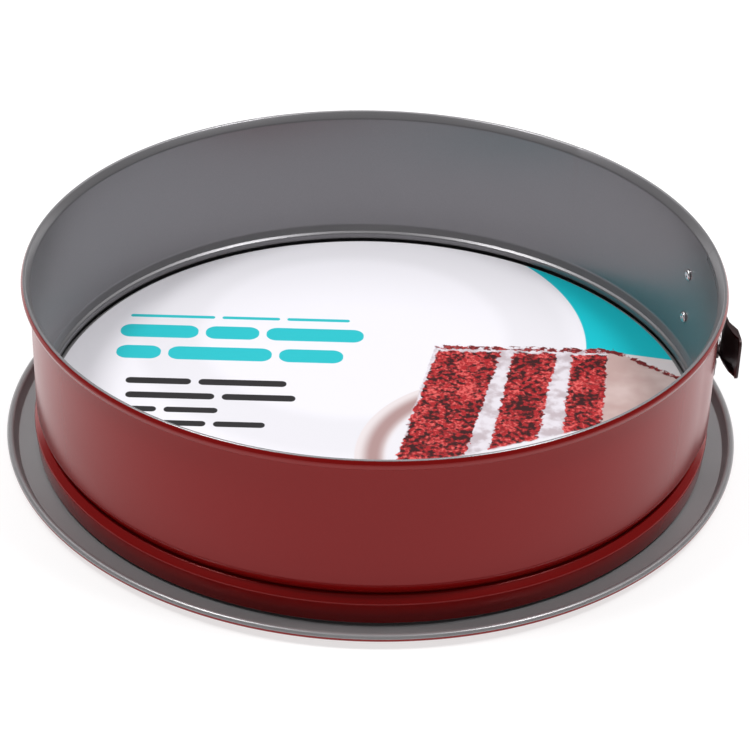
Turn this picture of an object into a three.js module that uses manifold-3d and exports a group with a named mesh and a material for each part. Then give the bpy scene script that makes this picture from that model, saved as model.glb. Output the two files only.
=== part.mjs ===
// A springform cake pan: a loose base plate with a raised floor, a steel band that closes
// round it, and an over-centre lever latch that pulls the two ends of the band together.
// Millimetres, +Z up. The origin is the centre of the base's underside, and the latch is
// on the +X side. The band is one strip on the real pan. Here it is three arcs, so that
// its two long arms can spread where the real strip flexes.

import * as THREE from 'three';
import { mergeVertices } from 'three/addons/utils/BufferGeometryUtils.js';
import Module from 'manifold-3d';

const wasm = await Module();
wasm.setup();

// ---------------------------------------------------------------- driving dimensions

const FACETS = 90;                   // round a full circle
const STEP_DEG = 360 / FACETS;
const GAP = 0.3;                     // between pieces that touch on the real pan

const SHEET = 0.6;                   // thickness of the band
const WALL_IN = 130.2;               // inner radius of the band
const WALL_OUT = WALL_IN + SHEET;
const RIM_TOP = 72.5;                // height of the pan
const RIM_OUT = 134;                 // outer radius of the rolled rim
const RIM_FOOT_Z = 67.4;
const RIM_FLARE_Z = 69.2;            // the wall leans outward above this
const RIM_CORNER = 1;
const BEAD_IN = 127.6;               // the inward bead above the floor
const BEAD_NOSE_Z = [12.5, 14];
const BEAD_COVE = [128.9, 15.1];     // the hollow above the bead's nose
const BEAD_TOP = 17.7;               // the wall is straight above this
const SKIRT_OUT = 131.9;             // the crease under the bead
const SKIRT_CREASE_Z = 10.5;
const SKIRT_FOOT_OUT = 131.2;
const SKIRT_FOOT_Z = 2.2;

const BASE_OUT = 143;                // outer radius of the base's rolled edge
const BASE_SHEET = 0.8;
const BASE_EDGE_Z = 5.3;             // top of the rolled edge
const PLATEAU_R = 129.2;             // the raised floor
const PLATEAU_Z = 10.6;
const PLATEAU_CORNER = 1.2;
const FLAT_RING_IN = 130.4;          // the flat ring between the floor and the rolled edge
const FLAT_RING_OUT = 139.2;
const EDGE_ROLL = 1.5;

const CARD_R = 126.5;                // printed card that lies in the pan
const CARD_THICK = 0.4;

// Azimuths in degrees, counter-clockwise from +X.
const LATCH_AZ = 8;
const HOOK_SIDE_START = 8.4;
const HOOK_SIDE_END = 176;
const TONGUE_START = -12;            // the plain end that slides inside the other
const TONGUE_LOW_Z = 19;
const TONGUE_HIGH_Z = 67;
const REAR_START = 176.3;
const REAR_END = 199.7;
const LEVER_SIDE_START = 200;
const LEVER_SIDE_END = 367.6;
const JOGGLE_START = 342;            // the lever side steps outward over the tongue
const JOGGLE_END = 346;
const JOGGLE = 0.95;

// The latch, in its own frame: x outward, y along the band, z up from the lever's middle.
const LATCH_Z = 40.4;
const PIVOT = new THREE.Vector2(135.9, -2);
const LINK = new THREE.Vector2(135.5, -7.5);
const PIN_R = 1;
const PIN_HOLE_R = 1.3;

const BRACKET_IN = 132.05;
const BRACKET_THICK = 1;
const BRACKET_WIDE = [-24, -11.6];   // along y, where it is riveted
const BRACKET_WIDE_HALF = 12.5;
const BRACKET_NARROW_END = -0.5;
const BRACKET_NARROW_HALF = 8.8;
const LUG_R = 2.6;
const LUG_Z = [6.4, 7.4];

const LEVER_HALF = 8.8;
const LEVER_SHEET = 1;
const LEVER_TIP_R = 2.4;
const HEEL_R = 2.5;

// The lever's outer face, from beside the pins to its free end, which is cranked outward.
const LEVER_WEB = [[136.6, -12], [136.4, -17.5], [138.3, -23.5], [137.6, -32.5]];

// The edge of the lever's flanges that faces the band, and then their end.
const LEVER_EDGE = [
  [133.7, -8.9], [135, -13], [135.1, -20], [135.6, -25.5], [136.7, -29.1], [137.7, -29.9],
];

const HOOK_BODY_IN = 131.1;
const HOOK_BODY_THICK = 1.2;
const HOOK_BODY = [4, 25];
const HOOK_BODY_HALF = 12.4;
const ARM_IN = 132.45;
const ARM_THICK = 1;
const ARM_Z = [9.9, 12.1];
const HOOK_FACE = -9.2;              // the face that the link pin pulls on
const HOOK_TIP = -10.4;
const HOOK_TOP = 136.3;

const RIVET_AZ_BRACKET = -7.7;       // measured from the latch
const RIVET_AZ_HOOK = 8;
const RIVET_Z = 9.7;
const RIVET_SHANK_R = 1.1;
const RIVET_HEAD_R = 2.25;
const RIVET_HEAD_H = 0.9;

// ------------------------------------------------------------------------- materials

function finish(name, color, metalness, roughness) {
  return new THREE.MeshStandardMaterial({ name, color, metalness, roughness });
}

const redCoating = finish('red_coating', 0x7c2526, 0.5, 0.35);
const greyCoating = finish('grey_coating', 0x77757a, 0.3, 0.5);
const leverCoating = finish('lever_coating', 0x2c2022, 0.5, 0.35);
const steel = finish('steel', 0xb9b9bd, 0.9, 0.3);
const card = finish('card', 0xe4e2ea, 0, 0.8);

// --------------------------------------------------------------------- shape helpers

const radians = THREE.MathUtils.degToRad;

function solid(geometry) {
  const bare = geometry.clone();
  bare.deleteAttribute('normal');
  bare.deleteAttribute('uv');
  const merged = mergeVertices(bare, 1e-5);
  return new wasm.Manifold(new wasm.Mesh({
    numProp: 3,
    vertProperties: new Float32Array(merged.attributes.position.array),
    triVerts: new Uint32Array(merged.index.array),
  }));
}

function fromSolid(manifold) {
  const mesh = manifold.getMesh();
  const geometry = new THREE.BufferGeometry();
  geometry.setAttribute('position', new THREE.BufferAttribute(mesh.vertProperties, 3));
  geometry.setIndex(new THREE.BufferAttribute(mesh.triVerts, 1));
  geometry.computeVertexNormals();
  return geometry;
}

function join(first, ...others) {
  return others.reduce((whole, other) => whole.add(other), first);
}

function outline(points) {
  return new THREE.Shape(points.map(([x, y]) => new THREE.Vector2(x, y)));
}

// Points on an arc of an ellipse, in degrees from +x, both ends included.
function arcPoints(cx, cy, rx, ry, from, to, count) {
  return Array.from({ length: count + 1 }, (_, i) => {
    const angle = radians(from + (to - from) * i / count);
    return [cx + rx * Math.cos(angle), cy + ry * Math.sin(angle)];
  });
}

// A prism of an outline in the XY plane, from z0 to z1.
function prism(shape, z0, z1, curveSegments = 12) {
  const options = { depth: z1 - z0, bevelEnabled: false, curveSegments };
  return new THREE.ExtrudeGeometry(shape, options).translate(0, 0, z0);
}

// A prism of an outline in the YZ plane, from x0 to x1.
function sidePrism(shape, x0, x1, curveSegments = 6) {
  const geometry = prism(shape, x0, x1, curveSegments);
  geometry.applyMatrix4(new THREE.Matrix4().makeBasis(
    new THREE.Vector3(0, 1, 0), new THREE.Vector3(0, 0, 1), new THREE.Vector3(1, 0, 0)));
  return geometry;
}

// A rectangle with rounded corners, from (x0, y0) to (x1, y1).
function roundedRectangle(x0, y0, x1, y1, r) {
  const shape = new THREE.Shape();
  shape.moveTo(x0 + r, y0);
  shape.lineTo(x1 - r, y0);
  shape.absarc(x1 - r, y0 + r, r, -Math.PI / 2, 0);
  shape.lineTo(x1, y1 - r);
  shape.absarc(x1 - r, y1 - r, r, 0, Math.PI / 2);
  shape.lineTo(x0 + r, y1);
  shape.absarc(x0 + r, y1 - r, r, Math.PI / 2, Math.PI);
  shape.lineTo(x0, y0 + r);
  shape.absarc(x0 + r, y0 + r, r, Math.PI, 1.5 * Math.PI);
  return shape;
}

// A sector of a ring in the XY plane that spans y0 to y1 on the +X side.
function ringSector(rIn, rOut, y0, y1) {
  const from = Math.asin(y0 / rIn);
  const to = Math.asin(y1 / rIn);
  const shape = new THREE.Shape();
  shape.absarc(0, 0, rOut, from, to, false);
  shape.absarc(0, 0, rIn, to, from, true);
  return shape;
}

// Points at radius r from the pan's axis, for y from y0 to y1.
function alongCircle(r, y0, y1, count) {
  return Array.from({ length: count + 1 }, (_, i) => {
    const y = y0 + (y1 - y0) * i / count;
    return [Math.sqrt(r * r - y * y), y];
  });
}

function disc(cx, cy, r) {
  return outline(arcPoints(cx, cy, r, r, 0, 360, 16).slice(0, -1));
}

// A round piece about the z axis, from a profile of [radius, z] points.
function turned(profile, segments) {
  const points = profile.map(([r, z]) => new THREE.Vector2(r, z));
  return new THREE.LatheGeometry(points, segments).rotateX(Math.PI / 2);
}

// The band's centre line: a circle of the wall's inner radius, with an outward step.
class BandPath extends THREE.Curve {
  constructor(fromDeg, toDeg, stepAt = null) {
    super();
    this.fromDeg = fromDeg;
    this.toDeg = toDeg;
    this.stepAt = stepAt;
  }

  getPoint(t, target = new THREE.Vector3()) {
    const az = this.fromDeg + (this.toDeg - this.fromDeg) * t;
    let r = WALL_IN;
    if (this.stepAt) {
      r += JOGGLE * THREE.MathUtils.smoothstep(az, this.stepAt[0], this.stepAt[1]);
    }
    return target.set(r * Math.cos(radians(az)), r * Math.sin(radians(az)), 0);
  }
}

// Sweeps a [radius, z] profile along the band. The path's frame has its x axis down and
// its y axis inward, so a profile point becomes (-z, wall radius - radius).
function sweep(profile, path) {
  const shape = outline(profile.map(([r, z]) => [-z, WALL_IN - r]));
  const steps = Math.ceil(Math.abs(path.toDeg - path.fromDeg) / STEP_DEG);
  return new THREE.ExtrudeGeometry(shape, { steps, extrudePath: path });
}

// ------------------------------------------------------------------------- base plate

const cornerCut = 0.35 * PLATEAU_CORNER;
const rollCentre = [BASE_OUT - EDGE_ROLL, BASE_EDGE_Z - EDGE_ROLL];

const baseProfile = [
  [0, PLATEAU_Z],
  [PLATEAU_R - PLATEAU_CORNER, PLATEAU_Z],
  [PLATEAU_R - cornerCut, PLATEAU_Z - cornerCut],
  [PLATEAU_R, PLATEAU_Z - PLATEAU_CORNER],
  [PLATEAU_R + BASE_SHEET / 2, 2 * BASE_SHEET],
  [FLAT_RING_IN, BASE_SHEET],
  [FLAT_RING_OUT, BASE_SHEET],
  ...arcPoints(...rollCentre, EDGE_ROLL, EDGE_ROLL, 180, -60, 5),
  [FLAT_RING_OUT + BASE_SHEET, 0],
  [FLAT_RING_IN - BASE_SHEET, 0],
  [PLATEAU_R - BASE_SHEET, PLATEAU_Z - BASE_SHEET - PLATEAU_CORNER],
  [PLATEAU_R - BASE_SHEET - PLATEAU_CORNER, PLATEAU_Z - BASE_SHEET],
  [0, PLATEAU_Z - BASE_SHEET],
];

function basePlate() {
  return turned(baseProfile.toReversed(), FACETS);
}

function baseCard() {
  const low = PLATEAU_Z + GAP;
  const high = low + CARD_THICK;
  return turned([[0, low], [CARD_R, low], [CARD_R, high], [0, high]], FACETS);
}

// ------------------------------------------------------------------------------- band

const [noseLow, noseHigh] = BEAD_NOSE_Z;
const [coveR, coveZ] = BEAD_COVE;

// Up the outside, round the rim and down the inside.
const bandProfile = [
  [SKIRT_FOOT_OUT - SHEET, SKIRT_FOOT_Z],
  [SKIRT_FOOT_OUT, SKIRT_FOOT_Z],
  [SKIRT_OUT, SKIRT_CREASE_Z],
  [BEAD_IN + SHEET, noseLow + SHEET],
  [BEAD_IN + SHEET, noseHigh - SHEET],
  [coveR + SHEET / 2, coveZ - SHEET],
  [WALL_OUT, BEAD_TOP - SHEET / 2],
  [WALL_OUT, RIM_FOOT_Z + RIM_CORNER / 2],
  [RIM_OUT - RIM_CORNER, RIM_FOOT_Z],
  [RIM_OUT, RIM_FOOT_Z + RIM_CORNER],
  [RIM_OUT, RIM_TOP - RIM_CORNER],
  [RIM_OUT - RIM_CORNER, RIM_TOP],
  [RIM_OUT - RIM_CORNER - SHEET, RIM_TOP - SHEET / 2],
  [WALL_IN, RIM_FLARE_Z],
  [WALL_IN, BEAD_TOP],
  [coveR, coveZ],
  [BEAD_IN, noseHigh],
  [BEAD_IN, noseLow],
  [SKIRT_OUT - SHEET, SKIRT_CREASE_Z - SHEET / 2],
];

function wedge(fromDeg, toDeg, z0, z1) {
  const far = 1.2 * BASE_OUT;
  const corners = [[0, 0]];
  for (const az of [fromDeg, (fromDeg + toDeg) / 2, toDeg]) {
    corners.push([far * Math.cos(radians(az)), far * Math.sin(radians(az))]);
  }
  return solid(prism(outline(corners), z0, z1));
}

function rivetHoles(azFromLatch) {
  const az = radians(LATCH_AZ + azFromLatch);
  const holes = [RIVET_Z, -RIVET_Z].map((z) => {
    const hole = new THREE.CylinderGeometry(RIVET_SHANK_R + GAP, RIVET_SHANK_R + GAP, 10, 16);
    hole.rotateZ(Math.PI / 2).translate(WALL_OUT, 0, LATCH_Z + z).rotateZ(az);
    return solid(hole);
  });
  return join(...holes);
}

function hookSideBand() {
  const whole = solid(sweep(bandProfile, new BandPath(TONGUE_START, HOOK_SIDE_END)));
  const below = wedge(TONGUE_START - 2, HOOK_SIDE_START, -1, TONGUE_LOW_Z);
  const above = wedge(TONGUE_START - 2, HOOK_SIDE_START, TONGUE_HIGH_Z, RIM_TOP + 1);
  return fromSolid(whole.subtract(join(below, above, rivetHoles(RIVET_AZ_HOOK))));
}

function leverSideBand() {
  const path = new BandPath(LEVER_SIDE_START, LEVER_SIDE_END, [JOGGLE_START, JOGGLE_END]);
  const whole = solid(sweep(bandProfile, path));
  return fromSolid(whole.subtract(rivetHoles(RIVET_AZ_BRACKET)));
}

function rearBand() {
  return sweep(bandProfile, new BandPath(REAR_START, REAR_END));
}

// ------------------------------------------------------------------------------ latch
// Everything here is in the latch's own frame, and a group turns it to its place.

function latchRivetHoles(azFromLatch) {
  const toLatch = new THREE.Matrix4().makeTranslation(0, 0, -LATCH_Z)
    .multiply(new THREE.Matrix4().makeRotationZ(radians(-LATCH_AZ)));
  return rivetHoles(azFromLatch).transform(toLatch.elements);
}

function mirroredPair(shape, z0, z1) {
  return join(solid(prism(shape, z0, z1)), solid(prism(shape, -z1, -z0)));
}

function leverBracket() {
  const [wideStart, wideEnd] = BRACKET_WIDE;
  const out = BRACKET_IN + BRACKET_THICK;
  const curved = solid(prism(
    ringSector(BRACKET_IN, out, wideStart - 1, BRACKET_NARROW_END + 1),
    -BRACKET_WIDE_HALF - 1, BRACKET_WIDE_HALF + 1));
  const wide = solid(sidePrism(
    roundedRectangle(wideStart, -BRACKET_WIDE_HALF, wideEnd, BRACKET_WIDE_HALF, 2.5),
    BRACKET_IN - 5, out + 1));
  const narrow = solid(sidePrism(
    roundedRectangle(wideStart + 3, -BRACKET_NARROW_HALF, BRACKET_NARROW_END,
      BRACKET_NARROW_HALF, 0.8),
    BRACKET_IN - 5, out + 1));
  const foot = BRACKET_IN + 0.4 * BRACKET_THICK;
  const lug = outline([
    [foot, PIVOT.y - 4],
    [foot, BRACKET_NARROW_END],
    ...arcPoints(PIVOT.x, PIVOT.y, LUG_R, LUG_R, -20, 150, 8),
  ].sort(byAngleRound(PIVOT.x - 1.2, PIVOT.y - 1)));
  const lugs = mirroredPair(lug, ...LUG_Z);
  const bore = solid(prism(disc(PIVOT.x, PIVOT.y, PIN_HOLE_R), -20, 20));
  const plate = join(wide, narrow).intersect(curved);
  return fromSolid(join(plate, lugs).subtract(join(bore, latchRivetHoles(RIVET_AZ_BRACKET))));
}

// Orders the corners of a convex outline round a point inside it.
function byAngleRound(cx, cy) {
  return (a, b) => Math.atan2(a[1] - cy, a[0] - cx) - Math.atan2(b[1] - cy, b[0] - cx);
}

function hookPlate() {
  const bodyOut = HOOK_BODY_IN + HOOK_BODY_THICK;
  const [bodyStart, bodyEnd] = HOOK_BODY;
  const curved = solid(prism(
    ringSector(HOOK_BODY_IN, bodyOut, bodyStart - 1, bodyEnd + 1),
    -HOOK_BODY_HALF - 1, HOOK_BODY_HALF + 1));
  const plate = solid(sidePrism(
    roundedRectangle(bodyStart, -HOOK_BODY_HALF, bodyEnd, HOOK_BODY_HALF, 2.5),
    HOOK_BODY_IN - 5, bodyOut + 1)).intersect(curved);
  const armOut = ARM_IN + ARM_THICK;
  const armEnd = bodyStart + 4;
  const stepAt = bodyStart + 1.6;
  const arm = outline([
    ...alongCircle(ARM_IN, HOOK_TIP, stepAt, 4).toReversed(),
    [HOOK_TOP - 0.5, HOOK_TIP],
    [HOOK_TOP, HOOK_TIP + 0.5],
    [HOOK_TOP, HOOK_FACE],
    ...alongCircle(armOut, HOOK_FACE, armEnd, 4),
    ...alongCircle(bodyOut - 0.4, stepAt, armEnd, 1).toReversed(),
  ]);
  const metal = join(plate, mirroredPair(arm, ...ARM_Z));
  return fromSolid(metal.subtract(latchRivetHoles(RIVET_AZ_HOOK)));
}

function lever() {
  const side = outline([
    ...arcPoints(PIVOT.x, PIVOT.y, HEEL_R, HEEL_R, 0, 180, 10),
    ...LEVER_EDGE,
    ...LEVER_WEB.slice(0, -1).toReversed(),
  ]);
  const flanges = mirroredPair(side, LEVER_HALF - LEVER_SHEET, LEVER_HALF);
  const innerFace = LEVER_WEB.map(([x, y]) => [x - LEVER_SHEET, y]);
  const strip = solid(prism(
    outline([...LEVER_WEB, ...innerFace.toReversed()]), -LEVER_HALF, LEVER_HALF));
  const leverEnd = LEVER_WEB.at(-1)[1];
  const front = solid(sidePrism(
    roundedRectangle(leverEnd, -LEVER_HALF, LINK.y, LEVER_HALF, LEVER_TIP_R),
    BRACKET_IN, BASE_OUT));
  const bores = join(
    solid(prism(disc(PIVOT.x, PIVOT.y, PIN_HOLE_R), -20, 20)),
    solid(prism(disc(LINK.x, LINK.y, PIN_HOLE_R), -20, 20)));
  return fromSolid(join(flanges, strip.intersect(front)).subtract(bores));
}

// A pin with a turned head at each end.
function headedPin(centre, half, headR, headH) {
  const geometry = turned([
    [0, -half],
    [headR - 0.3, -half],
    [headR, -half + 0.3],
    [headR, -half + headH],
    [PIN_R, -half + headH],
    [PIN_R, half - headH],
    [headR, half - headH],
    [headR, half - 0.3],
    [headR - 0.3, half],
    [0, half],
  ], 16);
  return geometry.translate(centre.x, centre.y, 0);
}

function plainPin(centre, half) {
  const geometry = turned([
    [0, -half],
    [PIN_R - 0.3, -half],
    [PIN_R, -half + 0.3],
    [PIN_R, half - 0.3],
    [PIN_R - 0.3, half],
    [0, half],
  ], 16);
  return geometry.translate(centre.x, centre.y, 0);
}

// A rivet along x. A head height of 0 leaves that end flush.
function rivet(azFromLatch, side, rIn, rOut, innerHead, outerHead) {
  const head = (end, height, sign) => (height === 0
    ? [[0, end], [RIVET_SHANK_R, end]]
    : [
      [0, end + sign * height],
      [0.55 * RIVET_HEAD_R, end + sign * 0.85 * height],
      [0.9 * RIVET_HEAD_R, end + sign * 0.4 * height],
      [RIVET_HEAD_R, end],
      [RIVET_SHANK_R, end],
    ]);
  const profile = [
    ...head(rIn, innerHead, -1),
    ...head(rOut, outerHead, 1).toReversed(),
  ];
  const geometry = turned(profile, 16);
  geometry.rotateY(Math.PI / 2).translate(0, 0, side * RIVET_Z);
  return geometry.rotateZ(radians(azFromLatch));
}

// --------------------------------------------------------------------------- assembly

const pan = new THREE.Group();
const latch = new THREE.Group();
latch.position.z = LATCH_Z;
latch.rotation.z = radians(LATCH_AZ);
pan.add(latch);

function place(group, name, geometry, material) {
  const mesh = new THREE.Mesh(geometry, material);
  mesh.name = name;
  group.add(mesh);
}

place(pan, 'base_plate', basePlate(), greyCoating);
place(pan, 'base_card', baseCard(), card);
place(pan, 'band_rear', rearBand(), redCoating);
place(pan, 'band_hook_side', hookSideBand(), redCoating);
place(pan, 'band_lever_side', leverSideBand(), redCoating);

place(latch, 'lever_bracket', leverBracket(), leverCoating);
place(latch, 'hook_plate', hookPlate(), leverCoating);
place(latch, 'lever', lever(), leverCoating);
place(latch, 'pivot_pin', headedPin(PIVOT, 9.75, 1.7, 0.6), steel);
place(latch, 'link_pin', plainPin(LINK, 12.1), steel);

const bracketOut = BRACKET_IN + BRACKET_THICK + GAP;
const hookOut = HOOK_BODY_IN + HOOK_BODY_THICK + GAP;
for (const [label, side] of [['upper', 1], ['lower', -1]]) {
  place(latch, `bracket_rivet_${label}`,
    rivet(RIVET_AZ_BRACKET, side, WALL_OUT + GAP + 0.1, bracketOut, 0, RIVET_HEAD_H), steel);
  place(latch, `hook_rivet_${label}`,
    rivet(RIVET_AZ_HOOK, side, WALL_IN - GAP, hookOut, RIVET_HEAD_H, 0.5), steel);
}

export default pan;
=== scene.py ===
"""A springform pan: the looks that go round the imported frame.

Every piece is made in the frame's own place, in metres. The band and the base are thin
pressed sheet, swept round the pan's axis from a drawn cross-section.
"""

import math

import bmesh
import bpy
from mathutils import Matrix, Vector


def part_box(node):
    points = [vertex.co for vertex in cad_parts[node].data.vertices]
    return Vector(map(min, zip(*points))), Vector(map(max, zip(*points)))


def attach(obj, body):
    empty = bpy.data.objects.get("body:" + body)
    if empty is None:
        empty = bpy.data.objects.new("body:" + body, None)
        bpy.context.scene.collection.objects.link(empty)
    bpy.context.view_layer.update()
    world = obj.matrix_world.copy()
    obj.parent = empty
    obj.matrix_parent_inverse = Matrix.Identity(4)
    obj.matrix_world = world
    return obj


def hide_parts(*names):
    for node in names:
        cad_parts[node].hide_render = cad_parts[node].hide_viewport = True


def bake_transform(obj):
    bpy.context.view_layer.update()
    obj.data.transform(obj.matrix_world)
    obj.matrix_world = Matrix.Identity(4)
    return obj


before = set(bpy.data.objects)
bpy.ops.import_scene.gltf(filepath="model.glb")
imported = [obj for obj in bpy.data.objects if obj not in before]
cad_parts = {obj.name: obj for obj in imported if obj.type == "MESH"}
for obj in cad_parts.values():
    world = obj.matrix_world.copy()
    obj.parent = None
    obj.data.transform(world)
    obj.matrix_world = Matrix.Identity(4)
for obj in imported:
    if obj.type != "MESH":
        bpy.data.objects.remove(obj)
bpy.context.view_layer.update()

MM = 0.001

# ---------------------------------------------------------------- sizes, in millimetres

# the band, with azimuths in degrees from the x axis
SHEET = 0.6
WALL = 130.5  # the middle of the band's sheet
WALL_LOW_Z = 19.0  # the wall is straight from here up
RIM_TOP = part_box("band_rear")[1].z / MM
RIM_OUT = 134.0
LATCH_AZ = 8.0
SPLIT_AZ = 188.0  # where the two halves of the band meet, opposite the latch
END_GAP = 0.02  # degrees between the two ends of the rim, each side of the latch

# from the seam to past the latch, the rim is wider and the wall sits further in
SEAM_AZ = 50.5
SEAM_STEP = 0.12
SEAM_RISE = 0.25  # degrees in which the step is reached
CURL_WIDE = 0.2  # how much wider the rim is there
STEP_END_AZ = -20.0
STEP_FADE = 10.0  # degrees in which the step is lost again

# the joggle: the wall of the lever's half steps outward, over the tongue
JOGGLE = 0.95
JOGGLE_AZ = (338.0, 346.0)  # where it starts and where it is whole
JOGGLE_FOOT_Z = (12.0, 7.0)  # it starts at this height and is whole this much above that
JOGGLE_HEAD_Z = (3.5, 3.0)  # it ends this far under the rim's top, and is whole this far below that
TONGUE_AZ = -12.0
TONGUE_Z = (19.0, 67.0)
TONGUE_STEPS = 12

# the base and the card
BASE_SHEET = 0.8
BASE_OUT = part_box("base_plate")[1].x / MM
PLATEAU_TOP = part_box("base_plate")[1].z / MM
PLATEAU_R = 128.5
FLAT_RING = (129.3, 138.9)
GROUND_GAP = 0.01  # the base's underside is this far above the ground
LIP_R = 1.05  # the base's rolled edge
LIP_TOP = 5.3
LIP_FROM, LIP_TO = 178.0, -80.0  # degrees, on the roll's own circle
LIP_STEPS = 14
CARD_LOW, CARD_HIGH = (corner.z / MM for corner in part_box("base_card"))
CARD_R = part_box("base_card")[1].x / MM
CARD_BEVEL = 0.12

# the lacquer's edge, as marks from 0 for grey to 1 for red
RIM_EDGE_MARKS = [0.1, 0.3, 0.5, 0.8]
LIP_EDGE = (155.0, 30.0)  # degrees round the roll: where the red starts, and how soon it is whole

# the latch: edge rounding of the pressings and pins, and the rivets
LEVER_ROUND, PLATE_ROUND, PIN_ROUND = 0.25, 0.2, 0.15
WELD = 0.002  # corners closer than this are one
FLAT_ANGLE = math.radians(1)  # faces that differ by less than this are one face
EDGE_ANGLE = math.radians(40)  # edges that turn by more than this are rounded
SHANK_R = 1.1
RIVET_HEAD_R = 2.25
# a rivet: its azimuth from the latch, then its inner and outer radius, then its two heads' heights
BRACKET_RIVET = (-7.7, (131.2, 133.35), (0.0, 0.9))
HOOK_RIVET = (8.0, (129.9, 132.6), (0.9, 0.5))

# how finely round shapes are cut
STEP_DEG = 0.75
CORNER_POINTS = 7
BASE_SEGMENTS = 480
CARD_SEGMENTS = 288
RIVET_SEGMENTS = 48

# ------------------------------------------------------------------------ camera, lights

CAMERA_AIM = Vector((1.07, 0.0, 21.5)) * MM
CAMERA_DISTANCE = 902.7 * MM
CAMERA_PITCH = math.radians(32.31)
CAMERA_ROLL = math.radians(1.57)
CAMERA_LENS = 110.4

LIGHTS_AIM = (0.0, 0.0, 0.03)
# each light's place and size in metres, and its power in watts
LIGHTS = {
    "top_softbox": ((0.0, 0.65, 1.5), (2.4, 1.4), 17.0),
    "left_lamp": ((-0.65, -0.08, 1.4), (0.3, 0.3), 10.0),
    "right_lamp": ((0.65, -0.08, 1.4), (0.3, 0.3), 10.0),
    "backdrop": ((0.0, 2.5, 0.35), (6.0, 0.9), 20.0),
}
WORLD_STRENGTH = 0.15
WHITE = (1.0, 1.0, 1.0, 1.0)


def make_camera():
    data = bpy.data.cameras.new("camera")
    data.lens = CAMERA_LENS
    data.sensor_width = 36.0
    data.clip_end = 50.0
    camera = bpy.data.objects.new("camera", data)
    bpy.context.scene.collection.objects.link(camera)
    back = Vector((0.0, -math.cos(CAMERA_PITCH), math.sin(CAMERA_PITCH)))
    place = Matrix.Translation(CAMERA_AIM + CAMERA_DISTANCE * back)
    turn = back.to_track_quat("Z", "Y").to_matrix().to_4x4()
    camera.matrix_world = place @ turn @ Matrix.Rotation(CAMERA_ROLL, 4, "Z")
    bpy.context.scene.camera = camera


def area_light(name, position, size, power):
    data = bpy.data.lights.new(name, "AREA")
    data.shape = "RECTANGLE"
    data.size, data.size_y = size
    data.energy = power
    light = bpy.data.objects.new(name, data)
    bpy.context.scene.collection.objects.link(light)
    light.location = position
    away = Vector(position) - Vector(LIGHTS_AIM)
    light.rotation_euler = away.to_track_quat("Z", "Y").to_euler()


def make_lights():
    for name, (position, size, power) in LIGHTS.items():
        area_light(name, position, size, power)
    world = bpy.data.worlds.new("studio")
    bpy.context.scene.world = world
    world.use_nodes = True
    background = world.node_tree.nodes["Background"]
    background.inputs["Color"].default_value = WHITE
    background.inputs["Strength"].default_value = WORLD_STRENGTH
    bpy.context.scene.view_settings.view_transform = "Standard"


# ----------------------------------------------------------------------- shader helpers


class Nodes:
    """Short calls for building one material's node tree."""

    def __init__(self, name):
        self.material = bpy.data.materials.new(name)
        self.material.use_nodes = True
        self.tree = self.material.node_tree
        self.shader = self.tree.nodes["Principled BSDF"]

    def add(self, kind, **settings):
        node = self.tree.nodes.new(kind)
        for key, value in settings.items():
            setattr(node, key, value)
        return node

    def link(self, source, target):
        self.tree.links.new(source, target)

    def put(self, socket, value):
        if isinstance(value, bpy.types.NodeSocket):
            self.link(value, socket)
        else:
            socket.default_value = value

    def math(self, operation, *values):
        node = self.add("ShaderNodeMath", operation=operation)
        for socket, value in zip(node.inputs, values):
            self.put(socket, value)
        return node.outputs[0]

    def plus(self, a, b):
        return self.math("ADD", a, b)

    def minus(self, a, b):
        return self.math("SUBTRACT", a, b)

    def times(self, first, *others):
        product = first
        for value in others:
            product = self.math("MULTIPLY", product, value)
        return product

    def smooth(self, value, low, high):
        """0 below low, 1 above high, and smooth between them."""
        node = self.add("ShaderNodeMapRange", interpolation_type="SMOOTHSTEP")
        self.put(node.inputs["Value"], value)
        self.put(node.inputs["From Min"], low)
        self.put(node.inputs["From Max"], high)
        return node.outputs["Result"]

    def between(self, value, low, high):
        """A 0 to 1 value spread over low to high."""
        node = self.add("ShaderNodeMapRange")
        self.put(node.inputs["Value"], value)
        node.inputs["To Min"].default_value = low
        node.inputs["To Max"].default_value = high
        return node.outputs["Result"]

    def mix(self, share, a, b):
        """The color a, going over to b as the share goes from 0 to 1."""
        node = self.add("ShaderNodeMix", data_type="RGBA")
        self.put(node.inputs["Factor"], share)
        # a color mix has its sockets behind those for numbers and vectors: 6 and 7 in, 2 out
        for socket, color in ((node.inputs[6], a), (node.inputs[7], b)):
            self.put(socket, (*color, 1.0) if isinstance(color, tuple) else color)
        return node.outputs[2]

    def position(self):
        return self.add("ShaderNodeTexCoord").outputs["Object"]

    def scaled(self, vector, factors):
        node = self.add("ShaderNodeVectorMath", operation="MULTIPLY")
        self.link(vector, node.inputs[0])
        node.inputs[1].default_value = factors
        return node.outputs[0]

    def noise(self, vector, size, detail):
        """Cloudy noise with spots of about this size, in the vector's own unit."""
        node = self.add("ShaderNodeTexNoise")
        self.link(vector, node.inputs["Vector"])
        node.inputs["Scale"].default_value = 1.0 / size
        node.inputs["Detail"].default_value = detail
        return node.outputs["Fac"]

    def bump(self, height, depth_mm, strength):
        node = self.add("ShaderNodeBump")
        node.inputs["Strength"].default_value = strength
        node.inputs["Distance"].default_value = depth_mm * MM
        self.link(height, node.inputs["Height"])
        self.link(node.outputs["Normal"], self.shader.inputs["Normal"])

    def painted(self, **values):
        """Links node outputs into the shader: base_color, roughness or metallic."""
        for name, value in values.items():
            self.link(value, self.shader.inputs[name.replace("_", " ").title()])


# ---------------------------------------------------------------------------- materials

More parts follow.
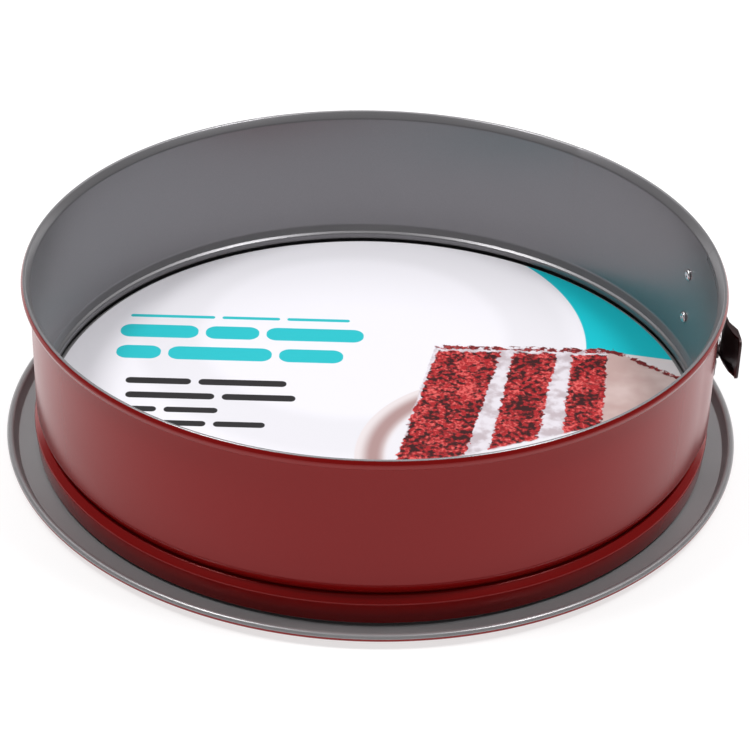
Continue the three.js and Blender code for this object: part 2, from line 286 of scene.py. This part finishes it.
RED = (0.3, 0.0042, 0.0038)
RED_DEEP = (0.2, 0.0023, 0.0021)
RED_METAL = 0.2
GREY = (0.275, 0.268, 0.279)
GREY_DARK = (0.19, 0.185, 0.193)
GREY_METAL = 0.58
BASE_GREY = (0.38, 0.372, 0.38)
BASE_GREY_DARK = (0.28, 0.274, 0.282)
BASE_METAL = 0.36
GREY_ROUGH, RED_ROUGH = 0.31, 0.23
CLOUD_ROUGH = 0.03  # how far a cloud moves either roughness, up or down
COATING_IOR = 1.4
SPRAY, FLAKE, CLOUD, PEEL = 0.5 * MM, 0.16 * MM, 45.0 * MM, 0.9 * MM  # the sizes of their spots
SPRAY_REACH = 0.12  # how far the sprayed edge strays, in the mesh's mark
RED_EDGE = (0.4, 0.6)  # the marks between which grey goes over to red

LATCH_DARK, LATCH_WORN = (0.026, 0.009, 0.010), (0.046, 0.020, 0.021)
LATCH_ROUGH = (0.24, 0.38)
LATCH_METAL = 0.4
STEEL_DARK, STEEL_LIGHT = (0.62, 0.62, 0.63), (0.84, 0.84, 0.85)
STEEL_ROUGH = (0.22, 0.38)
DRAWN_OUT = (1.0, 1.0, 0.12)  # the steel's marks are long and upright, along the pins


def pan_coating(name, grey_light, grey_dark, grey_metal):
    """Grey non-stick or red lacquer, by the mesh's own mark of which face is outside."""
    n = Nodes(name)
    at = n.position()
    mark = n.add("ShaderNodeAttribute", attribute_name="outside").outputs["Fac"]
    spray = n.noise(at, SPRAY, 2.0)
    edge = n.plus(mark, n.between(spray, -SPRAY_REACH, SPRAY_REACH))
    red_share = n.smooth(edge, *RED_EDGE)
    flake = n.noise(at, FLAKE, 1.0)
    cloud = n.noise(at, CLOUD, 3.0)
    red = n.mix(flake, RED_DEEP, RED)
    grey = n.mix(n.times(flake, n.between(cloud, 0.8, 1.2)), grey_dark, grey_light)
    rough = n.between(red_share, GREY_ROUGH, RED_ROUGH)
    n.painted(
        base_color=n.mix(red_share, grey, red),
        metallic=n.between(red_share, grey_metal, RED_METAL),
        roughness=n.plus(rough, n.between(cloud, -CLOUD_ROUGH, CLOUD_ROUGH)),
    )
    n.shader.inputs["IOR"].default_value = COATING_IOR
    n.bump(n.noise(at, PEEL, 1.0), 0.006, 0.5)
    return n.material


def latch_coating():
    n = Nodes("latch_coating")
    at = n.position()
    patch = n.noise(at, 5.0 * MM, 3.0)
    color = n.mix(patch, LATCH_DARK, LATCH_WORN)
    n.painted(base_color=color, roughness=n.between(patch, *LATCH_ROUGH))
    n.shader.inputs["Metallic"].default_value = LATCH_METAL
    n.bump(n.noise(at, 0.3 * MM, 2.0), 0.02, 0.4)
    return n.material


def bright_steel():
    n = Nodes("bright_steel")
    drawn = n.noise(n.scaled(n.position(), DRAWN_OUT), 0.25 * MM, 3.0)
    color = n.mix(drawn, STEEL_DARK, STEEL_LIGHT)
    n.painted(base_color=color, roughness=n.between(drawn, *STEEL_ROUGH))
    n.shader.inputs["Metallic"].default_value = 1.0
    n.bump(drawn, 0.01, 0.4)
    return n.material


# ------------------------------------------------------------------------- printed card

# Everything printed is in millimetres from the card's middle: x to the right, y to the back.
PAPER = (0.76, 0.745, 0.79)
TEAL = (0.004, 0.47, 0.54)
INK_SOFT = 0.15  # a block's edge fades over this much on each side
PAPER_ROUGH = (0.46, 0.56)
PAPER_SPECULAR = 0.2

# the big plate: its middle and half-widths, and its ring's two edges and their softness, as
# shares of those. The teal and the table start at an x of their own.
BIG_PLATE = (-8.0, 47.0, 95.5, 95.5)
BIG_RING = (0.66, 0.93, 0.05)
BIG_RING_GREY = (0.60, 0.59, 0.62)
BIG_RING_SHARE = 0.35
TEAL_FROM = 20.0
TABLE = (0.66, 0.62, 0.63)
TABLE_FROM = 90.0
TABLE_EDGE = (100.0, 38.0, 0.2)  # a point on its back edge, and how that falls to the right

# the small plate under the slice, in the same way
SMALL_PLATE = (47.0, -42.0, 53.0, 57.0)
SMALL_RIM = (0.70, 0.64, 0.65)
SMALL_RING = (0.80, 0.93, 0.05)
SMALL_RING_BROWN = (0.30, 0.15, 0.14)
SMALL_WELL = 0.78
SMALL_WELL_WHITE = (0.72, 0.70, 0.74)

# the slice: heights of its top, and lines that lean as they come down from its top
SLICE_BACK = 34.0  # where the lines below start
SLICE_TOP, SPONGE_TOP = 39.5, 36.2
CRUST = (37.6, 40.6, 0.3)
SLICE_LEFT = (24.0, 0.19)
SLICE_SIDE = (95.0, 0.12)  # right of this line there is bare cake, with no layers
SLICE_FALL = (98.0, 0.75)  # right of this x, its top falls by this much for each millimetre
SLICE_FOOT = (16.0, 0.42, -48.0, -46.5)  # right of this x it rises so, and fades between these
CREAM_SHADE, CREAM = (0.47, 0.40, 0.43), (0.68, 0.64, 0.69)
SIDE_SHADE, SIDE = (0.46, 0.32, 0.30), (0.62, 0.50, 0.48)
HOLE, SPONGE, SPONGE_LIT = (0.035, 0.006, 0.007), (0.36, 0.014, 0.018), (0.76, 0.13, 0.12)
CRUST_DARK, CRUST_LIT = (0.13, 0.010, 0.012), (0.42, 0.05, 0.05)

# its dark layers: left edge and right edge at SLICE_BACK, and how they lean
CAKE_LAYERS = [
    (25.5, 52.0, 0.21),
    (56.5, 75.0, 0.17),
    (80.5, 96.0, 0.12),
]

# plain blocks in place of words: left end, right end, middle height, thickness
TEAL_LIGHT = (0.02, 0.46, 0.51)
TITLE_BARS = [
    (-101, -66, 57.5, 2.2), (-63, -39, 57.5, 2.2), (-36, -10, 57.5, 2.2),
    (-104, -72, 45.5, 10.0), (-69, -47, 45.5, 10.0), (-44, -4, 45.5, 10.0),
    (-104, -86, 29.0, 10.0), (-83, -41, 29.0, 10.0), (-38, -12, 29.0, 10.0),
]
INK = (0.022, 0.020, 0.022)
SMALL_BARS = [
    (-98, -72, 7.5, 4.4), (-69, -34, 7.5, 4.4),
    (-97, -62, -3.0, 4.4), (-59, -30, -3.0, 4.4),
    (-95, -84, -13.0, 3.8), (-81, -60, -13.0, 3.8),
    (-94, -64, -22.5, 3.8), (-61, -41, -22.5, 3.8),
]
BAR_ROUND = 0.45  # the rounding of a block's corners, as a share of its thickness


class Drawing(Nodes):
    """Flat shapes on the card: distances in millimetres, and 0 to 1 shares made of them."""

    def __init__(self, name):
        super().__init__(name)
        self.at = self.scaled(self.position(), (1.0 / MM, 1.0 / MM, 1.0 / MM))
        split = self.add("ShaderNodeSeparateXYZ")
        self.link(self.at, split.inputs[0])
        self.x, self.y = split.outputs["X"], split.outputs["Y"]

    def crumb(self, size, detail=4.0):
        return self.noise(self.at, size, detail)

    def length(self, dx, dy):
        return self.math("SQRT", self.plus(self.times(dx, dx), self.times(dy, dy)))

    def ellipse(self, middle_x, middle_y, half_wide, half_high):
        """The distance from the middle, as a share of the outline's."""
        dx = self.math("DIVIDE", self.minus(self.x, middle_x), half_wide)
        dy = self.math("DIVIDE", self.minus(self.y, middle_y), half_high)
        return self.length(dx, dy)

    def inside(self, value, edge, soft):
        return self.smooth(value, edge + soft, edge - soft)

    def slab(self, value, low, high, soft):
        above = self.smooth(value, low - soft, low + soft)
        return self.times(above, self.inside(value, high, soft))

    def bar(self, left, right, middle, thick):
        radius = BAR_ROUND * thick
        dx = self.math("ABSOLUTE", self.minus(self.x, (left + right) / 2))
        dy = self.math("ABSOLUTE", self.minus(self.y, middle))
        past_x = self.math("MAXIMUM", self.minus(dx, (right - left) / 2 - radius), 0.0)
        past_y = self.math("MAXIMUM", self.minus(dy, thick / 2 - radius), 0.0)
        return self.inside(self.length(past_x, past_y), radius, INK_SOFT)

    def past_line(self, start, lean):
        """How far x is past a line that starts at x = start on the slice's back edge."""
        back = self.times(self.minus(self.y, SLICE_BACK), lean)
        return self.minus(self.minus(self.x, start), back)


def draw_ground(card):
    """A big pale plate with a soft ring, a teal ground behind it and a table to its right."""
    plate = card.ellipse(*BIG_PLATE)
    ring = card.times(card.slab(plate, *BIG_RING), BIG_RING_SHARE)
    pale = card.mix(ring, PAPER, BIG_RING_GREY)
    right_side = card.smooth(card.x, TEAL_FROM, TEAL_FROM + 1.0)
    beyond = card.times(card.smooth(plate, 0.997, 1.003), right_side)
    color = card.mix(beyond, pale, TEAL)
    edge_x, edge_y, fall = TABLE_EDGE
    height = card.minus(card.y, card.times(card.minus(edge_x, card.x), fall))
    far_right = card.smooth(card.x, TABLE_FROM, TABLE_FROM + 1.0)
    table = card.times(card.inside(height, edge_y, 0.3), far_right)
    return card.mix(table, color, TABLE)


def draw_small_plate(card, color):
    plate = card.ellipse(*SMALL_PLATE)
    color = card.mix(card.inside(plate, 1.0, 0.008), color, SMALL_RIM)
    color = card.mix(card.times(card.slab(plate, *SMALL_RING), 0.8), color, SMALL_RING_BROWN)
    return card.mix(card.inside(plate, SMALL_WELL, 0.03), color, SMALL_WELL_WHITE)


def draw_slice(card, color):
    """A slice of layer cake: cream first, then the layers of sponge and the crust on top."""
    ragged = card.times(card.minus(card.crumb(2.6, 5.0), 0.5), 9.0)
    wobble = card.times(card.minus(card.crumb(9.0), 0.5), 8.0)
    fray = card.plus(ragged, card.times(wobble, 0.5))

    def frayed(value, share):
        return card.plus(value, card.times(fray, share))

    fall_from, fall = SLICE_FALL
    falling = card.times(card.math("MAXIMUM", card.minus(card.x, fall_from), 0.0), fall)
    top = card.plus(frayed(card.y, 0.6), falling)
    foot_from, foot_lean, foot_low, foot_high = SLICE_FOOT
    foot = card.minus(card.y, card.times(card.minus(card.x, foot_from), foot_lean))
    standing = card.smooth(frayed(foot, 0.3), foot_low, foot_high)
    past_left = card.smooth(frayed(card.past_line(*SLICE_LEFT), 0.3), 0.0, 0.8)

    body = card.times(past_left, card.inside(top, SLICE_TOP, 0.5), standing)
    cream = card.mix(card.smooth(card.crumb(6.0, 3.0), 0.36, 0.62), CREAM_SHADE, CREAM)
    side = card.mix(card.smooth(card.crumb(20.0, 3.0), 0.3, 0.7), SIDE_SHADE, SIDE)
    past_layers = card.smooth(frayed(card.past_line(*SLICE_SIDE), 0.3), -1.0, 1.5)
    color = card.mix(body, color, card.mix(past_layers, cream, side))

    deep = card.times(card.minus(card.crumb(11.0, 3.0), 0.5), 0.5)
    solid = card.smooth(card.plus(card.crumb(2.2, 6.0), deep), 0.38, 0.58)
    lit = card.smooth(card.plus(card.crumb(1.3, 4.0), deep), 0.48, 0.66)
    sponge = card.mix(solid, HOLE, SPONGE)
    sponge = card.mix(card.times(solid, lit, 0.8), sponge, SPONGE_LIT)
    for left, right, lean in CAKE_LAYERS:
        past = card.smooth(frayed(card.past_line(left, lean), 0.55), 0.0, 0.7)
        short = card.smooth(frayed(card.past_line(right, lean), 0.55), 0.0, -0.7)
        layer = card.times(past, short, card.inside(top, SPONGE_TOP, 0.5), standing)
        color = card.mix(layer, color, sponge)
    crumbs = card.smooth(card.crumb(3.5), 0.38, 0.48)
    crust = card.times(past_left, card.slab(top, *CRUST), crumbs, standing)
    return card.mix(crust, color, card.mix(lit, CRUST_DARK, CRUST_LIT))


def card_print():
    """A pale plate on a teal ground, a slice of layer cake, and plain blocks."""
    card = Drawing("card_print")
    color = draw_slice(card, draw_small_plate(card, draw_ground(card)))
    for ink, bars in ((TEAL_LIGHT, TITLE_BARS), (INK, SMALL_BARS)):
        for bar in bars:
            color = card.mix(card.bar(*bar), color, ink)
    card.painted(base_color=color, roughness=card.between(card.crumb(14.0), *PAPER_ROUGH))
    card.shader.inputs["Specular IOR Level"].default_value = PAPER_SPECULAR
    card.bump(card.noise(card.position(), 0.6 * MM, 3.0), 0.01, 0.4)
    return card.material


def card_back():
    n = Nodes("card_back")
    fibre = n.noise(n.scaled(n.position(), (1.0, 0.3, 1.0)), 0.8 * MM, 3.0)
    n.painted(base_color=n.mix(fibre, (0.50, 0.47, 0.42), (0.62, 0.59, 0.54)))
    n.shader.inputs["Roughness"].default_value = 0.85
    n.bump(fibre, 0.02, 0.6)
    return n.material


# ------------------------------------------------------------------------ mesh helpers


def make_object(name, vertices, faces, materials, face_materials=None, sharp_deg=35.0):
    mesh = bpy.data.meshes.new(name)
    mesh.from_pydata([[c * MM for c in v] for v in vertices], [], faces)
    for material in materials:
        mesh.materials.append(material)
    if face_materials:
        mesh.polygons.foreach_set("material_index", face_materials)
    mesh.shade_smooth()
    mesh.set_sharp_from_angle(angle=math.radians(sharp_deg))
    mesh.update()
    piece = bpy.data.objects.new(name, mesh)
    bpy.context.scene.collection.objects.link(piece)
    return piece


def mark_outside(piece, values):
    attribute = piece.data.attributes.new("outside", "FLOAT", "POINT")
    attribute.data.foreach_set("value", values)


def rounded(points):
    """A line through (x, y, radius) corners, with each corner turned on its radius."""
    line = []
    last = len(points) - 1
    steps = CORNER_POINTS - 1
    for i, (px, py, radius) in enumerate(points):
        here = Vector((px, py))
        if i in (0, last) or radius == 0:
            line.append(here)
            continue
        before = (Vector(points[i - 1][:2]) - here).normalized()
        after = (Vector(points[i + 1][:2]) - here).normalized()
        half = before.angle(after) / 2
        reach = radius / math.tan(half)
        centre = here + (before + after).normalized() * (radius / math.sin(half))
        start = here + before * reach - centre
        turn = start.angle_signed(here + after * reach - centre)
        for k in range(steps + 1):
            angle = turn * k / steps
            c, s = math.cos(angle), math.sin(-angle)
            line.append(centre + Vector((c * start.x - s * start.y, s * start.x + c * start.y)))
    return line


def arc(cx, cy, radius, start_deg, end_deg, steps):
    angles = [math.radians(start_deg + (end_deg - start_deg) * k / steps) for k in range(steps + 1)]
    return [Vector((cx + radius * math.cos(a), cy + radius * math.sin(a))) for a in angles]


def two_sides(line, thickness):
    """The two faces of a sheet whose middle runs along line: its left and its right."""
    left, right = [], []
    for i, point in enumerate(line):
        ahead = line[min(i + 1, len(line) - 1)] - line[max(i - 1, 0)]
        normal = Vector((-ahead.y, ahead.x)).normalized() * thickness / 2
        left.append(point + normal)
        right.append(point - normal)
    return left, right


def swept_sheet(name, section, azimuths, material):
    """Sweeps a sheet round the z axis. section(az) gives its inner line, its outer line and
    each point's mark, both lines running the same way and with as many points each time."""
    vertices, marks, faces = [], [], []
    for az in azimuths:
        inner, outer, inner_mark, outer_mark = section(az)
        c, s = math.cos(math.radians(az)), math.sin(math.radians(az))
        for r, z in [*inner, *reversed(outer)]:
            vertices.append((r * c, r * s, z))
        marks += [*inner_mark, *reversed(outer_mark)]
    count = len(inner) + len(outer)
    half = len(inner)
    for i in range(len(azimuths) - 1):
        for j in range(count):
            k = (j + 1) % count
            a, b = i * count, (i + 1) * count
            faces.append((a + j, a + k, b + k, b + j))
    for start, order in ((0, 1), ((len(azimuths) - 1) * count, -1)):
        cap = len(vertices)  # the cut end is bare, so it has corners of its own
        vertices += vertices[start:start + count]
        marks += [0.0] * count
        for j in range(half - 1):
            opposite = count - 1 - j
            corners = (cap + j, cap + opposite, cap + opposite - 1, cap + j + 1)
            faces.append(corners[::order])
    piece = make_object(name, vertices, faces, [material])
    mark_outside(piece, marks)
    if signed_volume(piece.data) < 0:
        piece.data.flip_normals()
    return piece


def signed_volume(mesh):
    work = bmesh.new()
    work.from_mesh(mesh)
    volume = work.calc_volume(signed=True)
    work.free()
    return volume


def turned(name, line, materials, segments, bands=None, sharp_deg=35.0):
    """Turns a closed outline of (radius, z), whose first and last points are on the axis.
    bands gives the material of each stretch of the outline, where there is more than one."""
    vertices, faces, kinds = [(0, 0, line[0][1]), (0, 0, line[-1][1])], [], []
    rings = line[1:-1]
    for r, z in rings:
        for k in range(segments):
            angle = 2 * math.pi * k / segments
            vertices.append((r * math.cos(angle), r * math.sin(angle), z))
    for k in range(segments):
        m = (k + 1) % segments
        faces.append((0, 2 + k, 2 + m))
        kinds.append(bands[0] if bands else 0)
        end = 2 + (len(rings) - 1) * segments
        faces.append((1, end + m, end + k))
        kinds.append(bands[-1] if bands else 0)
        for i in range(len(rings) - 1):
            a, b = 2 + i * segments, 2 + (i + 1) * segments
            faces.append((a + k, b + k, b + m, a + m))
            kinds.append(bands[i + 1] if bands else 0)
    piece = make_object(name, vertices, faces, materials, kinds, sharp_deg)
    if signed_volume(piece.data) < 0:
        piece.data.flip_normals()
    return piece


def steps_between(start, end):
    count = max(1, round(abs(end - start) / STEP_DEG))
    return [start + (end - start) * i / count for i in range(count + 1)]


# --------------------------------------------------------------------------------- band


def band_line(wide):
    """The middle of the band's sheet, from its foot up and over the rolled rim."""
    out = RIM_OUT - SHEET / 2 - CURL_WIDE + wide
    top = RIM_TOP - SHEET / 2
    return rounded([
        (130.9, 2.2, 0.0),  # the foot of the skirt
        (131.6, 10.7, 1.0),  # the crease under the bead
        (129.3, 13.0, 0.4),
        (127.95, 11.45, 0.45),  # the bead's nose, over the edge of the floor
        (127.95, 14.3, 0.6),
        (129.05, 15.0, 0.7),  # the cove above the bead
        (WALL, 17.9, 3.5),
        (WALL, 40.0, 0.0),
        (WALL, 60.0, 0.0),
        (WALL, 69.0, 1.5),  # here the rim flares
        (out - 0.85, top, 0.5),
        (out + 0.1, top - 2.0, 0.9),
        (out - 0.5, top - 3.9, 0.7),
        (out - 1.8, top - 4.2, 0.0),  # the end of the roll
    ])


def eased(value):
    """0 below 0, 1 above 1, and smooth between them."""
    share = min(1.0, max(0.0, value))
    return share * share * (3 - 2 * share)


def seam_share(az):
    """How much of the seam's step there is: 1 from the seam to past the latch, 0 elsewhere."""
    signed = az - 360.0 if az > 330.0 else az
    past_seam = SEAM_AZ - signed
    to_end = SEAM_AZ - STEP_END_AZ - past_seam
    return max(0.0, min(1.0, past_seam / SEAM_RISE, to_end / STEP_FADE))


def on_wall(z):
    """1 on the wall, falling to 0 at the bead and the rim: those run straight over the joggle."""
    foot, rise = JOGGLE_FOOT_Z
    head, fall = JOGGLE_HEAD_Z
    return eased(min((z - foot) / rise, (RIM_TOP - head - z) / fall))


def joggle(az):
    start, end = JOGGLE_AZ
    return JOGGLE * eased((az - start) / (end - start))


def band_section(az, shift):
    """The two faces of the band at an azimuth, where its wall is moved outward by shift."""
    share = seam_share(az)
    line = band_line(CURL_WIDE * share)
    inner, outer = two_sides(line, SHEET)

    def moved(point):
        r, z = point
        steps_in = z > WALL_LOW_Z and r < WALL + 0.4  # the wall's own points, not the rim's
        return r + shift * on_wall(z) - (SEAM_STEP * share if steps_in else 0.0), z

    # the lacquer starts on top of the rim, before two rounded corners and the end
    lacquered = 2 * CORNER_POINTS + 1
    bare = len(line) - lacquered - len(RIM_EDGE_MARKS)
    marks = [0.0] * bare + RIM_EDGE_MARKS + [1.0] * lacquered
    return [moved(p) for p in inner], [moved(p) for p in outer], marks, [1.0] * len(line)


def tongue_section(az):
    """A plain strip with bare edges. It is the same at each azimuth."""
    low, high = TONGUE_Z
    heights = [low + (high - low) * k / TONGUE_STEPS for k in range(TONGUE_STEPS + 1)]
    inner, outer = two_sides([Vector((WALL - SEAM_STEP, z)) for z in heights], SHEET)
    return inner, outer, [0.0] * len(inner), [0.0] + [1.0] * (len(outer) - 2) + [0.0]


def make_band(coating):
    hook_az = [*steps_between(SPLIT_AZ, SEAM_AZ), SEAM_AZ - SEAM_RISE,
               *steps_between(SEAM_AZ - 1.0, LATCH_AZ + END_GAP)]
    hook_side = swept_sheet("band_hook_half", lambda az: band_section(az, 0.0), hook_az, coating)
    lever_az = steps_between(SPLIT_AZ, 360.0 + LATCH_AZ - END_GAP)
    lever_side = swept_sheet("band_lever_half", lambda az: band_section(az, joggle(az)),
                             lever_az, coating)
    tongue_az = steps_between(LATCH_AZ + END_GAP, TONGUE_AZ)
    tongue = swept_sheet("band_tongue", tongue_section, tongue_az, coating)
    blend_over(hook_side)
    blend_over(lever_side)
    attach(tongue, "ring_hook_arm")
    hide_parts("band_hook_side", "band_rear")
    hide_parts("band_lever_side")


def blend_over(piece):
    """Bakes a half of the band's place into its own mesh."""
    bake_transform(piece)


# --------------------------------------------------------------------------------- base


def make_base(coating):
    """The base: a raised floor, a flat ring round it, and a rolled edge."""
    half = BASE_SHEET / 2
    low = half + GROUND_GAP
    top = PLATEAU_TOP - half
    ring_in, ring_out = FLAT_RING
    lip_r, lip_z = BASE_OUT - LIP_R - half, LIP_TOP - LIP_R - half  # the middle of the roll
    line = [Vector((60.0, top))] + rounded([
        (110.0, top, 0.0),
        (PLATEAU_R, top, 1.6),
        (ring_in, low, 0.9),
        (ring_out, low, 0.9),
        (lip_r - LIP_R, lip_z, 0.0),
    ]) + arc(lip_r, lip_z, LIP_R, LIP_FROM, LIP_TO, LIP_STEPS)
    upper, under = two_sides(line, BASE_SHEET)
    red_from, red_over = LIP_EDGE
    marks = []
    for i in range(len(line)):
        rolled = (LIP_FROM - LIP_TO) * max(0, i - (len(line) - 1 - LIP_STEPS)) / LIP_STEPS
        marks.append(min(1.0, max(0.0, (rolled - red_from) / red_over)))
    outline = [(0.0, top + half), *upper, *reversed(under), (0.0, top - half)]
    piece = turned("base_pressing", outline, [coating], BASE_SEGMENTS)
    rings = [*marks, *[1.0] * len(under)]
    mark_outside(piece, [0.0, 1.0] + [mark for mark in rings for _ in range(BASE_SEGMENTS)])
    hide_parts("base_plate")
    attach(piece, "base")


def make_card():
    line = [
        (0, CARD_LOW),
        (CARD_R - CARD_BEVEL, CARD_LOW),
        (CARD_R, CARD_LOW + CARD_BEVEL),
        (CARD_R, CARD_HIGH - CARD_BEVEL),
        (CARD_R - CARD_BEVEL, CARD_HIGH),
        (0, CARD_HIGH),
    ]
    front, back = 0, 1
    bands = [back, back, back, front, front]
    piece = turned("printed_card", line, [card_print(), card_back()], CARD_SEGMENTS, bands)
    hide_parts("base_card")
    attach(piece, "card")


# -------------------------------------------------------------------------------- latch


def rounded_copy(node, name, body, material, radius):
    """A copy of a CAD piece with its edges rounded, as pressed or tumbled metal has them."""
    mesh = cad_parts[node].data.copy()
    mesh.name = name
    mesh.materials.clear()
    mesh.materials.append(material)
    work = bmesh.new()
    work.from_mesh(mesh)
    bmesh.ops.remove_doubles(work, verts=work.verts, dist=WELD * MM)
    bmesh.ops.dissolve_limit(work, angle_limit=FLAT_ANGLE, verts=work.verts, edges=work.edges)
    sharp = [e for e in work.edges if len(e.link_faces) == 2 and e.calc_face_angle() > EDGE_ANGLE]
    bmesh.ops.bevel(work, geom=sharp, offset=radius * MM, segments=3, profile=0.5,
                    affect="EDGES", clamp_overlap=True)
    work.to_mesh(mesh)
    work.free()
    mesh.shade_smooth()
    mesh.set_sharp_from_angle(angle=math.radians(50))
    piece = bpy.data.objects.new(name, mesh)
    bpy.context.scene.collection.objects.link(piece)
    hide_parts(node)
    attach(piece, body)


def rivet_head(end, rise):
    """Half the outline of a head that stands out from end by rise, with a dimple in its middle.
    Where there is no head, the shank's end is flat."""
    if rise == 0:
        return [(0, end), (SHANK_R, end)]
    crown = [(0, 0.55), (0.5, 0.58), (0.85, 0.95), (1.15, 1.0), (1.7, 0.86), (2.08, 0.55)]
    outline = [(r, end + rise * share) for r, share in crown]
    return [*outline, (RIVET_HEAD_R, end + rise * 0.2), (RIVET_HEAD_R, end), (SHANK_R, end)]


def make_rivet(node, body, rivet, material):
    low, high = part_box(node)
    height = (low.z + high.z) / 2
    az_from_latch, (end_in, end_out), (rise_in, rise_out) = rivet
    line = rivet_head(end_in, -rise_in) + rivet_head(end_out, rise_out)[::-1]
    piece = turned(f"{node}_head", line, [material], RIVET_SEGMENTS, sharp_deg=60.0)
    az = math.radians(LATCH_AZ + az_from_latch)
    outward = Matrix.Rotation(az, 4, "Z") @ Matrix.Rotation(math.radians(90), 4, "Y")
    piece.data.transform(Matrix.Translation((0, 0, height)) @ outward)
    piece.data.update()
    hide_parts(node)
    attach(piece, body)


def make_latch():
    dark, steel = latch_coating(), bright_steel()
    for node, name, body, radius in (
        ("lever", "latch_lever_pressing", "latch_lever", LEVER_ROUND),
        ("lever_bracket", "lever_bracket_pressing", "ring_lever_arm", PLATE_ROUND),
        ("hook_plate", "hook_plate_pressing", "ring_hook_arm", PLATE_ROUND),
    ):
        rounded_copy(node, name, body, dark, radius)
    rounded_copy("pivot_pin", "pivot_pin_turned", "ring_lever_arm", steel, PIN_ROUND)
    rounded_copy("link_pin", "link_pin_turned", "latch_lever", steel, PIN_ROUND)
    for label in ("upper", "lower"):
        make_rivet(f"bracket_rivet_{label}", "ring_lever_arm", BRACKET_RIVET, steel)
        make_rivet(f"hook_rivet_{label}", "ring_hook_arm", HOOK_RIVET, steel)


# -------------------------------------------------------------------------------- stage


FLOOR_DARK, FLOOR_LIGHT = (0.34, 0.34, 0.345), (0.38, 0.38, 0.38)
FLOOR_GLOW = 0.7
FLOOR_HALF = 6000.0
FLOOR_Z = -0.05


def make_floor():
    """A light table: it glows, so that the pan's own shadow stays faint."""
    n = Nodes("floor")
    haze = n.noise(n.position(), 400.0 * MM, 2.0)
    n.painted(base_color=n.mix(haze, FLOOR_DARK, FLOOR_LIGHT))
    n.shader.inputs["Emission Color"].default_value = WHITE
    n.shader.inputs["Emission Strength"].default_value = FLOOR_GLOW
    n.shader.inputs["Roughness"].default_value = 0.8
    n.shader.inputs["Specular IOR Level"].default_value = 0.2
    signs = ((-1, -1), (1, -1), (1, 1), (-1, 1))
    corners = [(x * FLOOR_HALF, y * FLOOR_HALF, FLOOR_Z) for x, y in signs]
    make_object("floor", corners, [(0, 1, 2, 3)], [n.material])


make_camera()
make_lights()
make_floor()
make_band(pan_coating("band_coating", GREY, GREY_DARK, GREY_METAL))
make_base(pan_coating("base_coating", BASE_GREY, BASE_GREY_DARK, BASE_METAL))
make_card()
make_latch()

bpy.context.view_layer.update()
